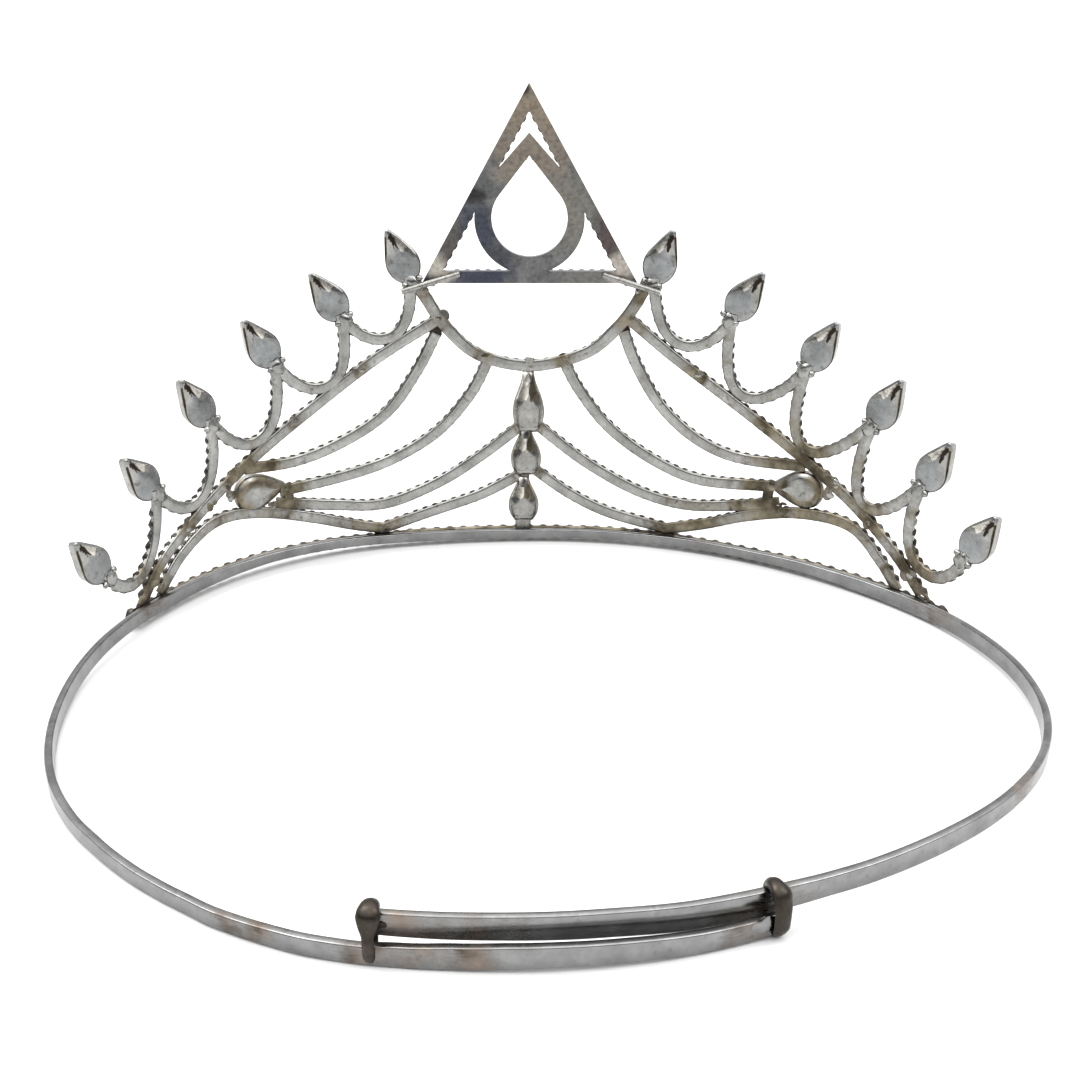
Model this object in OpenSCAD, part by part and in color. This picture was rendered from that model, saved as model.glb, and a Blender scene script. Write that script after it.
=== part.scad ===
// Fraternal regalia crown: an adjustable flat band with a soldered openwork front,
// pear-shaped finials and a tall triangular peak plate. Millimetres, Z up, front toward +Y.

/* [Band] */
// Height of the flat band strip
band_height = 2.8; // [2.2:0.1:3.6]
// Thickness of the flat band strip
band_thickness = 1.2; // [0.7:0.1:1.4]
// Rise of the right arm at the back, where it lies above the left arm
right_rise = 4.0; // [3.7:0.1:5.5]
// Rise of the left arm at the back, which leaves room for the loops under it
left_rise = 0.9; // [0.85:0.05:2]
// Free play between a loop and the strip that slides in it
loop_play = 0.2; // [0.15:0.05:0.4]

/* [Front frame] */
// Width of the frame strips, seen from the front
strip_width = 2.3; // [1.6:0.1:3]
// Thickness of the frame strips
strip_depth = 1.05; // [0.7:0.05:1.6]
// Gap that the solder film fills between the band and the frame
solder_film = 0.08; // [0.06:0.01:0.12]
// Length of a finial cup
finial_length = 11; // [9:0.5:13]
// Width of a finial cup
finial_width = 6.5; // [5.5:0.1:8]
// Depth of all cups, from the back to the rim
cup_depth = 2; // [1.8:0.1:4]

/* [Peak] */
// Height of the plate's point above the rest plane
peak_top = 86.3; // [70:0.1:95]
// Half of the plate's width at the cross bar
peak_half_width = 18.6; // [14:0.1:20]
// Thickness of the plate
plate_thickness = 1.2; // [0.8:0.1:2]
// Width of the open pear-shaped loop on the bar
loop_width = 20; // [14:0.1:20.5]
// Radius of the two rods that hold the plate
rod_radius = 0.55; // [0.4:0.05:0.8]

/* [Stones] */
// Stone size as a share of its cup's outline
stone_share = 0.8; // [0.7:0.01:0.88]
// Height of a stone above the rim of its cup
stone_height = 1.2; // [0.6:0.1:2]

/* [Hidden] */
$fn = 96;
// Gap between the frame's back and the outer ends of the plate's rods
rod_gap = 0.25;
// Plan centre of the front of the band, so that the origin is the middle of the crown's box
front_x = 0.17;
front_y = 62.04;
// Outer face of the band: columns are arc radius and sweep in degrees, from the front centre.
right_front = [[78, 30], [88, 24], [51, 36]];
right_rear = [[48.5, 5.5], [50.5, 46], [102, 45.8]];
left_front = [[120, 14], [56, 46], [68, 30]];
left_rear = [[69, 19], [57, 38], [79, 57]];
// Plan of the frame panel: it follows the band as far as the feet and runs on straight.
right_panel = [[78, 30], [88, 24], [51, 3]];
left_panel = [[120, 14], [56, 46], [68, 7]];
// Middle of the column, measured along the band's outer face
mid_s = -1.6;

// Finial cups: columns are station, height of the middle, lean in degrees from upright.
left_finials = [
    [-25.5, 56.4, -24], [-38.9, 49.9, -33], [-52.0, 43.0, -32],
    [-65.6, 34.9, -31], [-79.4, 25.4, -39], [-93.6, 15.7, -37]];
right_finials = [
    [22.3, 56.3, 20], [38.0, 50.5, 33], [52.7, 43.4, 30],
    [66.1, 35.6, 28], [77.0, 27.3, 28], [87.7, 17.8, 30]];
// Column cups: columns are distance from the middle, height, length, width.
column_cups = [[-0.6, 28.6, 12, 6.1], [-1.1, 18.9, 9.2, 6], [-1.6, 9.1, 10.2, 5.95]];
// Knot cups, tip toward the middle: station, height, length, width, lean.
knot_cups = [[-54.2, 15.5, 10.6, 7.2, 88], [50.0, 16.2, 10.6, 7.2, -96]];

// Frame strips: columns are station and height. The two sides differ a little, as bent by hand.
bowl = [
    [-22.9, 51.6], [-21.0, 48.7], [-17.6, 43.3], [-11.5, 37.7], [-1.7, 35.4],
    [8.4, 37.9], [14.2, 42.8], [17.7, 47.6], [19.6, 51.6]];
base_line = [
    [-85.5, 2.3], [-70, 2.1], [-54, 2.2], [-36, 1.9], [-20, 1.6], [0, 1.5],
    [20, 1.5], [50, 1.5], [81.5, 1.7]];
left_strips = [
    [[-17.9, 45.2], [-30.0, 38.2], [-43.2, 29.6], [-56.0, 21.9], [-67.6, 14.9], [-77.4, 9.0],
        [-83.6, 3.4]],
    [[-19.4, 42.0], [-23.1, 35.1], [-29.0, 27.4], [-37.5, 22.4], [-47.0, 20.0], [-57.2, 20.6]],
    [[-9.8, 36.6], [-13.2, 30.1], [-19.9, 22.7], [-29.3, 17.6], [-39.5, 15.3], [-50.5, 14.7]],
    [[-4.0, 23.4], [-11.5, 17.6], [-19.9, 12.5], [-30.3, 9.0], [-40.4, 10.1], [-51.5, 12.6]],
    [[-4.2, 13.5], [-11.6, 9.7], [-20.5, 6.9], [-31.5, 3.7]],
    [[-78.6, 3.6], [-72.3, 8.8], [-64.0, 12.4], [-55.1, 11.6], [-44.6, 8.3], [-36.5, 5.4],
        [-29.5, 3.6]]];
right_strips = [
    [[16.4, 44.9], [24.8, 38.4], [35.1, 31.8], [48.5, 23.9], [61.0, 16.6], [71.4, 9.2],
        [78.6, 2.6]],
    [[15.6, 42.4], [18.0, 36.4], [23.0, 28.5], [30.2, 22.7], [38.8, 20.2], [51.5, 21.0]],
    [[4.4, 36.6], [7.5, 30.7], [13.4, 23.4], [22.0, 17.6], [31.5, 14.7], [45.0, 15.8]],
    [[-0.6, 23.8], [8.6, 16.5], [18.9, 11.1], [28.5, 9.3], [38.8, 10.8], [47.0, 13.0]],
    [[-0.9, 14.6], [6.0, 9.6], [14.0, 6.0], [25.5, 3.7]],
    [[72.4, 2.8], [68.2, 7.2], [61.5, 11.9], [51.2, 11.8], [40.9, 9.1], [32.4, 5.9],
        [24.0, 3.6]]];
// Pull of the strips that hang between finials: outward and down at the upper finial, back and
// down at the lower one.
left_hangs = [
    [-1.1, 14.5, 3.8, 7.3], [-2.8, 17.1, 4.8, 9.1], [-2.4, 14.1, 7.2, 12.1],
    [-2.0, 12.8, 7.7, 11.4], [-0.1, 13.8, 5.0, 9.0]];
right_hangs = [
    [0.7, 19.3, 1.2, 5.9], [-4.0, 22.9, 4.1, 7.9], [-5.4, 16.4, 12.1, 14.2],
    [-6.6, 17.4, 9.2, 12.7], [-6.9, 17.6, 3.2, 10.9]];
joint_step = 0.03;
joint_lap = 0.3;

// Peak plate in its own plane
bar_top = 53.4;
bar_bottom = 51.2;
leg_width = 2.3;
plate_y = front_y - 0.33;
plate_mid = front_x - 1.9;

function arc_length(row) = row[0] * row[1] * PI / 180;

// Walks d along arcs from the origin, first toward +X and bending toward -Y: x, y, heading.
function walk(rows, d, i = 0, x = 0, y = 0, a = 0) =
    i == len(rows)
        ? [x + d * cos(a), y - d * sin(a), a]
        : let (r = rows[i][0], full = arc_length(rows[i]), b = a + min(d, full) / r * 180 / PI,
               nx = x + r * (sin(b) - sin(a)), ny = y + r * (cos(b) - cos(a)))
          d <= full ? [nx, ny, b] : walk(rows, d - full, i + 1, nx, ny, b);

// Plan place and heading at a station, which is negative on the left.
function place(s) =
    let (side = s < 0 ? -1 : 1, w = walk(s < 0 ? left_panel : right_panel, abs(s)))
    [front_x + side * w[0], front_y + w[1], side * w[2]];

// A point of the frame: station, height and distance outward from the band's outer face.
function panel(s, z, out) =
    let (p = place(s)) [p[0] + out * sin(p[2]), p[1] + out * cos(p[2]), z];

// Smooth curve through the points, n steps from one to the next.
function spline(pts, n) =
    let (m = len(pts) - 1)
    concat(
        [for (i = [0 : m - 1], k = [0 : n - 1])
            let (a = pts[max(i - 1, 0)], b = pts[i], c = pts[i + 1], d = pts[min(i + 2, m)], t = k / n)
            0.5 * (2 * b + (c - a) * t + (2 * a - 5 * b + 4 * c - d) * t * t
                + (3 * b - a - 3 * c + d) * t * t * t)],
        [pts[m]]);

function bezier(a, b, c, d, n) =
    [for (k = [0 : n]) let (t = k / n, u = 1 - t)
        a * u * u * u + 3 * b * u * u * t + 3 * c * u * t * t + d * t * t * t];

function cross_dir(pts, k) =
    let (d = pts[min(k + 1, len(pts) - 1)] - pts[max(k - 1, 0)]) [-d[1], d[0]] / norm(d);

// Flat strip on the panel along a path of stations and heights.
module strip(pts, width = strip_width, back = solder_film, depth = strip_depth) {
    n = len(pts);
    corners = [for (k = [0 : n - 1], c = [[-1, 0], [1, 0], [1, 1], [-1, 1]])
        let (q = pts[k] + cross_dir(pts, k) * c[0] * width / 2)
        panel(q[0], q[1], back + c[1] * depth)];
    last = 4 * (n - 1);
    sides = [for (k = [0 : n - 2], j = [0 : 3], h = [0, 1])
        let (a = 4 * k + j, b = 4 * k + (j + 1) % 4)
        h == 0 ? [a, b, b + 4] : [a, b + 4, a + 4]];
    ends = [[0, 3, 2], [0, 2, 1], [last, last + 1, last + 2], [last, last + 2, last + 3]];
    polyhedron(points = corners, faces = concat(sides, ends));
}

// Outline of a pear, round end down and tip up, n points.
function pear(length, width, n) =
    [for (k = [0 : n - 1]) let (t = 360 * k / n)
        [width * 0.668 * sin(t) * pow(sin(t / 2), 1.15), length / 2 * cos(t)]];

// Puts a cup or stone at a station and height: X across, Y along, Z outward.
module at_station(s, z, lean) {
    p = place(s);
    translate([p[0], p[1], z])
        rotate([0, 0, -p[2]])
        rotate([0, lean, 0])
        rotate([90, 0, 180])
        children();
}

// Closed cup with a domed back and a seat cut in its front.
module cup(length, width) {
    n = 16;
    // Columns: distance outward and share of the outline
    levels = [[0.35, 0.42], [0.6, 0.8], [1.25, 1], [cup_depth + 0.35, 0.98]];
    points = [for (l = levels, p = pear(length * l[1], width * l[1], n)) [p[0], p[1], l[0]]];
    difference() {
        hull()
            polyhedron(points = points, faces = [
                for (k = [0 : len(points) / n - 1]) [for (j = [0 : n - 1]) k * n + j]]);
        translate([0, 0, cup_depth - 0.65])
            linear_extrude(2)
                polygon(pear(length * (stone_share + 0.04), width * (stone_share + 0.04), 16));
    }
}

// Cut stone: flat back, upright girdle, ring of crown facets and a table.
module stone(length, width) {
    n = 16;
    base = cup_depth - 0.6;
    rim = cup_depth + 0.35;
    rings = [
        for (r = [[base, 1], [rim, 1], [rim + stone_height, 0.55]])
            for (p = pear(length * stone_share * r[1], width * stone_share * r[1], n))
                [p[0], p[1], r[0]]];
    walls = [for (j = [0, 1], k = [0 : n - 1])
        [j * n + k, j * n + (k + 1) % n, (j + 1) * n + (k + 1) % n, (j + 1) * n + k]];
    polyhedron(points = rings, faces = concat(
        walls, [[for (k = [n - 1 : -1 : 0]) k]], [[for (k = [0 : n - 1]) 2 * n + k]]));
}

// Round end of a finial, where its strips are soldered on.
function root(f) = [f[0], f[1]] - 0.36 * finial_length * [sin(f[2]), cos(f[2])];

// U-shaped strip that hangs between two finials, the upper one first.
module hanging_u(f, g, side, pull) {
    a = root(f);
    d = root(g);
    strip(bezier(a, a + [side * pull[0], -pull[1]], d + [-side * pull[2], -pull[3]], d, 9), 2.1);
}

module front_frame() {
    color("silver") union() {
        strip(spline(base_line, 5));
        strip(spline(bowl, 4));
        for (side = [-1, 1]) {
            for (line = side < 0 ? left_strips : right_strips)
                strip(spline(line, 3));
            fins = side < 0 ? left_finials : right_finials;
            hangs = side < 0 ? left_hangs : right_hangs;
            for (k = [0 : 4])
                hanging_u(fins[k], fins[k + 1], side, hangs[k]);
            for (f = fins)
                at_station(f[0], f[1], f[2]) cup(finial_length, finial_width);
        }
        for (c = knot_cups)
            at_station(c[0], c[1], c[4]) cup(c[2], c[3]);
        strip([[mid_s - 0.3, 36.6], [mid_s - 0.8, 33], [mid_s - 1.6, 1.8]], 1.8);
        for (c = column_cups)
            at_station(mid_s + c[0], c[1], 0) cup(c[2], c[3]);
    }
}

// Section of the band strip, outer face at zero, drawn smaller by the inset at the sides
// and top and by the lift at the underside.
module strip_section(inset, lift) {
    e = 0.18;
    x0 = -band_thickness + inset;
    x1 = -inset;
    z1 = band_height - inset;
    polygon([
        [x0 + e, lift], [x1 - e, lift], [x1, lift + e], [x1, z1 - e],
        [x1 - e, z1], [x0 + e, z1], [x0, z1 - e], [x0, lift + e]]);
}

// Arcs of the band one after another, lapped a little and with every other one a hair
// slimmer, as a filed joint is; children go on from the end.
module arcs(rows, odd, flat, i = 0) {
    if (i < len(rows)) {
        r = rows[i][0];
        a = rows[i][1];
        inset = (i + odd) % 2 * joint_step;
        lap = joint_lap / r * 180 / PI;
        translate([0, -r, 0])
            rotate([0, 0, 90 - a])
            rotate_extrude(angle = a + lap)
            translate([r, 0])
            strip_section(inset, flat ? 0 : 0.05 + inset);
        translate([r * sin(a), r * cos(a) - r, 0])
            rotate([0, 0, -a])
            arcs(rows, odd, flat, i + 1) children();
    } else {
        children();
    }
}

// Rounded rectangle between two corners.
module rounded(y0, z0, y1, z1, r) {
    for (y = [y0 + r, y1 - r], z = [z0 + r, z1 - r])
        translate([y, z]) circle(r);
    translate([y0 + r, z0]) square([y1 - y0 - 2 * r, z1 - z0]);
    translate([y0, z0 + r]) square([y1 - y0, z1 - z0 - 2 * r]);
}

// Tall oval loop round both strips; its top is a wider bulge.
module slider_loop(y0, z0, y1, z1) {
    side_wall = 0.6;
    end_wall = 0.6;
    for (part = [[-1.6, 1.3, -50], [-2.2, 2.6, z1 - 1.2]])
        translate([part[0], 0, 0])
            rotate([90, 0, 90])
            linear_extrude(part[1])
            difference() {
                intersection() {
                    rounded(y0 - side_wall, z0 - end_wall, y1 + side_wall, z1 + end_wall, 1.4);
                    translate([-20, part[2]]) square([40, 100]);
                }
                translate([y0, z0]) square([y1 - y0, z1 - z0]);
            }
}

// Drop of the rear arms at the back, and how far apart the two strips are there.
function widest(rows) = walk(rows, arc_length(rows[0]) + arc_length(rows[1]) + arc_length(rows[2]));
function whole(rows_a, rows_b) = concat(rows_a, rows_b);
function total(rows, i = 0) = i == len(rows) ? 0 : arc_length(rows[i]) + total(rows, i + 1);
right_end = walk(whole(right_front, right_rear), total(whole(right_front, right_rear)) - 1);
left_end = walk(whole(left_front, left_rear), total(whole(left_front, left_rear)) - 1);
right_tilt = atan(right_rise / 62);
left_tilt = atan(left_rise / 62);
right_z = (widest(right_front)[1] - right_end[1]) * tan(right_tilt);
left_z = (widest(left_front)[1] - left_end[1]) * tan(left_tilt);

// Distance from a point to the outer face of the other arm's last arc.
function apart(p, end, r) =
    let (c = [end[0] - r * sin(end[2]), end[1] - r * cos(end[2])])
    abs(norm([p[0] + c[0], p[1] - c[1]]) - r);
left_gap = apart(right_end, left_end, left_rear[2][0]);
right_gap = apart(left_end, right_end, right_rear[2][0]);
left_drop = right_z - (widest(left_front)[1] - right_end[1]) * tan(left_tilt);
right_drop = (widest(right_front)[1] - left_end[1]) * tan(right_tilt) - left_z;

module band() {
    color("lightsteelblue")
        translate([front_x, front_y, 0])
        union() {
            arcs(right_front, 0, true)
                rotate([0, -right_tilt, 0])
                arcs(right_rear, 1, false)
                slider_loop(0.15 - band_thickness, -left_drop - loop_play,
                    left_gap + loop_play, band_height - 0.1);
            mirror([1, 0, 0])
                arcs(left_front, 1, true)
                rotate([0, -left_tilt, 0])
                arcs(left_rear, 0, false)
                slider_loop(-right_gap - band_thickness - loop_play, 0.1,
                    -0.15, right_drop + band_height + loop_play);
        }
}

// Flat triangle with a cross bar and an open pear-shaped loop, drawn in its plane.
module plate_outline() {
    low = bar_bottom - 0.6;
    slope = peak_half_width / (peak_top - bar_top);
    inset = leg_width * sqrt(1 + slope * slope);
    wide = slope * (peak_top - low);
    difference() {
        polygon([[-wide, low], [0, peak_top], [wide, low]]);
        polygon([
            [-wide + inset, low - 1], [-wide + inset, low],
            [0, peak_top - inset / slope], [wide - inset, low], [wide - inset, low - 1]]);
    }
    translate([-peak_half_width, bar_bottom])
        square([2 * peak_half_width, bar_top - bar_bottom]);
    difference() {
        drop(loop_width / 2, 25);
        drop(loop_width / 2 - 3.1, 18);
    }
}

// Pear shape: a circle with a point above it, of a given full height.
module drop(r, height) {
    c = bar_top + loop_width / 2 - 0.5;
    up = height - r;
    t = asin(r / up);
    translate([0, c]) {
        circle(r);
        polygon([[0, up], [r * cos(t), r * sin(t)], [-r * cos(t), r * sin(t)]]);
    }
}

module rod(s_out, z_out, x_in, z_in) {
    p = panel(s_out, z_out, -rod_radius - rod_gap);
    q = [plate_mid + x_in, plate_y - rod_radius + 0.12, z_in];
    d = q - p;
    translate(p)
        rotate([0, acos(d[2] / norm(d)), atan2(d[1], d[0])])
        cylinder(h = norm(d), r = rod_radius);
}

module peak_plate() {
    color("slategray") {
        translate([plate_mid, plate_y + plate_thickness, 0])
            rotate([90, 0, 0])
            linear_extrude(plate_thickness)
            plate_outline();
        rod(-25.6, 50.3, -12.9, 53.0);
        rod(22.4, 50.1, 13.6, 52.8);
    }
}

module finial_stone(f) {
    color("lightcyan") at_station(f[0], f[1], f[2]) stone(finial_length, finial_width);
}

module column_stone(c) {
    color("lightcyan") at_station(mid_s + c[0], c[1], 0) stone(c[2], c[3]);
}

module knot_stone(c) {
    color("lightcyan") at_station(c[0], c[1], c[4]) stone(c[2], c[3]);
}

band();
front_frame();
peak_plate();
for (k = [1 : 6]) {
    finial_stone(left_finials[k - 1]);
    finial_stone(right_finials[k - 1]);
}
for (k = [1 : 3])
    column_stone(column_cups[k - 1]);
knot_stone(knot_cups[0]);  // stone_knot_left
knot_stone(knot_cups[1]);  // stone_knot_right
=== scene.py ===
"""Dressed scene of the fraternal regalia crown. Sizes in millimetres, scaled to metres."""
import math
import random
import bmesh
import bpy
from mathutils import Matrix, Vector, noise


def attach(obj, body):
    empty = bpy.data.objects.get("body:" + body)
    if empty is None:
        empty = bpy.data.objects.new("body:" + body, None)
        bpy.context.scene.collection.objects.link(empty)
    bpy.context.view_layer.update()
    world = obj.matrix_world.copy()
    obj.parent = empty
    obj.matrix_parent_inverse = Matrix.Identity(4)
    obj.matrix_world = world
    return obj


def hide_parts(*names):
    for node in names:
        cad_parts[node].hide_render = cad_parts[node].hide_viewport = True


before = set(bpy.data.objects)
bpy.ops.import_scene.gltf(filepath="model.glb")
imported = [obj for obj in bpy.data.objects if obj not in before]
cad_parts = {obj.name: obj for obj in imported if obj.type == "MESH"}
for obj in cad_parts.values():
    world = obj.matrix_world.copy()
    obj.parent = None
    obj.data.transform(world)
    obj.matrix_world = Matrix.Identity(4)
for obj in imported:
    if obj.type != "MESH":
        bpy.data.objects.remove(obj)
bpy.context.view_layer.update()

MM = 0.001
TAU = 2 * math.pi
BLACK, WHITE = (0, 0, 0), (1, 1, 1)

# Named sizes, as in the part's source
FRONT = (0.17, 62.04)
MID_S = -1.6
FILM = 0.08
FIN_L, FIN_W = 11.0, 6.5
CUP_DEPTH = 2.0
RIGHT_RISE, LEFT_RISE = 4.0, 0.9
PLATE_Y = FRONT[1] - 0.33
PLATE_MID = FRONT[0] - 1.9
PLATE_T = 1.2
PEAK_TOP, PEAK_HALF = 86.3, 18.6
BAR_TOP, BAR_BOTTOM, LEG_W = 53.4, 51.2, 2.3
BAR_MID = (BAR_TOP + BAR_BOTTOM) / 2
LOOP_W, LOOP_H = 20.0, 25.0

# Sizes of the dressed strips and of the rows of small stones on them
STRIP_W, BOWL_W, THIN_W = 2.15, 2.25, 2.1
POST_W, BRIDGE_W, FOOT_W = 1.7, 2.0, 3.1
STRIP_DEPTH = 0.66
STONE_PITCH, BASE_PITCH = 1.95, 2.6
STONE_R, BASE_STONE_R, PEAK_STONE_R = 1.2, 1.24, 1.17
SETTING_SIDES = 12
# Half length of the row on the plate's bar, least distance between the middles of two stones
# on the plate, and on the frame as a share of their radii together
BAR_ROW_HALF = 13.4
PEAK_STONE_GAP = 1.75
CLOSEST = 0.78

# The photo's camera: place in mm, pitch in degrees, focal length and side in pixels
CAMERA_AT = (0.17, -190.26, 103.95)
CAMERA_PITCH = 22.4
FOCAL_PX, PHOTO_PX = 1375, 1080
SENSOR = 36.0

# Arc radius and sweep in degrees
RIGHT_FRONT = [(78, 30), (88, 24), (51, 36)]
RIGHT_REAR = [(48.5, 5.5), (50.5, 46), (102, 45.8)]
LEFT_FRONT = [(120, 14), (56, 46), (68, 30)]
LEFT_REAR = [(69, 19), (57, 38), (79, 57)]
RIGHT_PANEL = [(78, 30), (88, 24), (51, 3)]
LEFT_PANEL = [(120, 14), (56, 46), (68, 7)]

# Finials: station, height, lean
LEFT_FINS = [(-25.5, 56.4, -24), (-38.9, 49.9, -33), (-52.0, 43.0, -32),
             (-65.6, 34.9, -31), (-79.4, 25.4, -39), (-93.6, 15.7, -37)]
RIGHT_FINS = [(22.3, 56.3, 20), (38.0, 50.5, 33), (52.7, 43.4, 30),
              (66.1, 35.6, 28), (77.0, 27.3, 28), (87.7, 17.8, 30)]
# Column cups: distance from the middle, height, length, width
COLUMN = [(-0.6, 28.35, 12.5, 6.1), (-1.1, 18.4, 10.0, 6), (-1.6, 8.7, 9.6, 5.95)]
# Knot cups: station, height, length, width, lean
KNOTS = [(-54.2, 15.5, 10.6, 7.2, 88), (50.0, 16.2, 10.6, 7.2, -96)]

# Stations along the base strip
BASE = (-85.5, -70, -54, -36, -20, 0, 20, 50, 81.5)
# Frame strips: station and height
BOWL = [(-22.9, 51.6), (-21.0, 48.7), (-17.6, 43.3), (-11.5, 37.7), (-1.7, 35.4),
        (8.4, 37.9), (14.2, 42.8), (17.7, 47.6), (19.6, 51.6)]
STRIPS = {
    -1: [
        [(-17.9, 45.2), (-30.0, 38.2), (-43.2, 29.6), (-56.0, 21.9), (-67.6, 14.9), (-77.4, 9.0),
         (-83.6, 3.4)],
        [(-19.4, 42.0), (-23.1, 35.1), (-29.0, 27.4), (-37.5, 22.4), (-47.0, 20.0), (-57.2, 20.6)],
        [(-9.8, 36.6), (-13.2, 30.1), (-19.9, 22.7), (-29.3, 17.6), (-39.5, 15.3), (-50.5, 14.7)],
        [(-4.0, 23.4), (-11.5, 17.6), (-19.9, 12.5), (-30.3, 9.0), (-40.4, 10.1), (-51.5, 12.6)],
        [(-4.2, 13.5), (-11.6, 9.7), (-20.5, 6.9), (-31.5, 3.7)],
        [(-78.6, 3.6), (-72.3, 8.8), (-64.0, 12.4), (-55.1, 11.6), (-44.6, 8.3), (-36.5, 5.4),
         (-29.5, 3.6)]],
    1: [
        [(16.4, 44.9), (24.8, 38.4), (35.1, 31.8), (48.5, 23.9), (61.0, 16.6), (71.4, 9.2),
         (78.6, 2.6)],
        [(15.6, 42.4), (18.0, 36.4), (23.0, 28.5), (30.2, 22.7), (38.8, 20.2), (51.5, 21.0)],
        [(4.4, 36.6), (7.5, 30.7), (13.4, 23.4), (22.0, 17.6), (31.5, 14.7), (45.0, 15.8)],
        [(-0.6, 23.8), (8.6, 16.5), (18.9, 11.1), (28.5, 9.3), (38.8, 10.8), (47.0, 13.0)],
        [(-0.9, 14.6), (6.0, 9.6), (14.0, 6.0), (25.5, 3.7)],
        [(72.4, 2.8), (68.2, 7.2), (61.5, 11.9), (51.2, 11.8), (40.9, 9.1), (32.4, 5.9),
         (24.0, 3.6)]]}
# Pull of the strips that hang between finials
HANGS = {
    -1: [(-1.1, 14.5, 3.8, 7.3), (-2.8, 17.1, 4.8, 9.1), (-2.4, 14.1, 7.2, 12.1),
         (-2.0, 12.8, 7.7, 11.4), (-0.1, 13.8, 5.0, 9.0)],
    1: [(0.7, 19.3, 1.2, 5.9), (-4.0, 22.9, 4.1, 7.9), (-5.4, 16.4, 12.1, 14.2),
        (-6.6, 17.4, 9.2, 12.7), (-6.9, 17.6, 3.2, 10.9)]}


def sind(a):
    return math.sin(math.radians(a))


def cosd(a):
    return math.cos(math.radians(a))


def smooth(x, lo, hi):
    t = min(1.0, max(0.0, (x - lo) / (hi - lo)))
    return t * t * (3 - 2 * t)


def length_of(rows):
    """Length of a run of arcs."""
    return sum(r * math.radians(a) for r, a in rows)


def walk(rows, d):
    """Plan place and heading after a way d along tangent arcs."""
    x = y = a = 0.0
    for r, sweep in rows:
        use = min(d, r * math.radians(sweep))
        b = a + math.degrees(use / r)
        x += r * (sind(b) - sind(a))
        y += r * (cosd(b) - cosd(a))
        a = b
        d -= use
        if d <= 1e-9:
            return x, y, a
    return x + d * cosd(a), y - d * sind(a), a


def place(s):
    """Plan place and turn of the panel at a station."""
    side = -1 if s < 0 else 1
    x, y, a = walk(LEFT_PANEL if s < 0 else RIGHT_PANEL, abs(s))
    return FRONT[0] + side * x, FRONT[1] + y, side * a


def panel_frame(s, z):
    """Origin, tangent, outward normal and up at a station and height."""
    x, y, a = place(s)
    return (Vector((x, y, z)), Vector((cosd(a), -sind(a), 0)),
            Vector((sind(a), cosd(a), 0)), Vector((0, 0, 1)))


def spline(pts, n):
    """Smooth curve through points of two numbers."""
    m = len(pts) - 1
    out = []
    for i in range(m):
        a, b, c, d = pts[max(i - 1, 0)], pts[i], pts[i + 1], pts[min(i + 2, m)]
        for k in range(n):
            t = k / n
            out.append(tuple(
                0.5 * (2 * b[j] + (c[j] - a[j]) * t + (2 * a[j] - 5 * b[j] + 4 * c[j] - d[j]) * t * t
                       + (3 * b[j] - a[j] - 3 * c[j] + d[j]) * t ** 3) for j in (0, 1)))
    out.append(tuple(pts[m]))
    return out


def bezier(a, b, c, d, n):
    """Cubic curve from a to d, as n steps."""
    out = []
    for k in range(n + 1):
        t = k / n
        u = 1 - t
        out.append(tuple(a[j] * u ** 3 + 3 * b[j] * u * u * t + 3 * c[j] * u * t * t + d[j] * t ** 3
                         for j in (0, 1)))
    return out


def even(path, step):
    """The path again at even steps."""
    total, marks = 0.0, [0.0]
    for p, q in zip(path, path[1:]):
        total += math.dist(p, q)
        marks.append(total)
    n = max(2, round(total / step))
    out, i = [], 0
    for k in range(n + 1):
        want = total * k / n
        while i < len(path) - 2 and marks[i + 1] < want:
            i += 1
        w = (want - marks[i]) / max(marks[i + 1] - marks[i], 1e-9)
        out.append(tuple(path[i][j] + (path[i + 1][j] - path[i][j]) * w for j in (0, 1)))
    return out


class Mesh:
    """Collects points and faces of one piece, in millimetres, with a value per point for tarnish and
    for painted shade, highlights and reflections.
    """

    def __init__(self):
        self.verts, self.faces, self.stain_and_shade = [], [], []

    def add(self, verts, faces, stain_and_shade=0.0):
        """Adds points and faces; the value for tarnish and painted shade is one number, a list or a
        function of the place.
        """
        n = len(self.verts)
        self.verts += [tuple(v) for v in verts]
        self.faces += [tuple(n + i for i in f) for f in faces]
        if isinstance(stain_and_shade, list):
            self.stain_and_shade += stain_and_shade
        elif callable(stain_and_shade):
            self.stain_and_shade += [stain_and_shade(v) for v in verts]
        else:
            self.stain_and_shade += [stain_and_shade] * len(verts)

    def loft(self, rings, closed=False, stain_and_shade=0.0, caps=True):
        """Skin over rings of equal length; each ring is a closed loop."""
        n = len(rings[0])
        verts = [p for r in rings for p in r]
        faces = []
        m = len(rings)
        for k in range(m if closed else m - 1):
            for j in range(n):
                a, b = k * n + j, k * n + (j + 1) % n
                c, d = ((k + 1) % m) * n + (j + 1) % n, ((k + 1) % m) * n + j
                faces.append((a, b, c, d))
        if caps and not closed:
            faces.append(tuple(range(n - 1, -1, -1)))
            faces.append(tuple((m - 1) * n + j for j in range(n)))
        self.add(verts, faces, stain_and_shade)

    def build(self, name, material, smooth_angle=40):
        """Makes the object, in metres, smooth but for edges sharper than the angle."""
        me = bpy.data.meshes.new(name)
        me.from_pydata([(x * MM, y * MM, z * MM) for x, y, z in self.verts], [], self.faces)
        me.validate()
        at = me.attributes.new("stain_and_shade", "FLOAT", "POINT")
        at.data.foreach_set("value", self.stain_and_shade)
        ob = bpy.data.objects.new(name, me)
        bpy.context.scene.collection.objects.link(ob)
        me.materials.append(material)
        bm = bmesh.new()
        bm.from_mesh(me)
        bmesh.ops.recalc_face_normals(bm, faces=bm.faces)
        for f in bm.faces:
            f.smooth = True
        for e in bm.edges:
            if len(e.link_faces) == 2 and e.calc_face_angle(0) > math.radians(smooth_angle):
                e.smooth = False
        bm.to_mesh(me)
        bm.free()
        return ob


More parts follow.
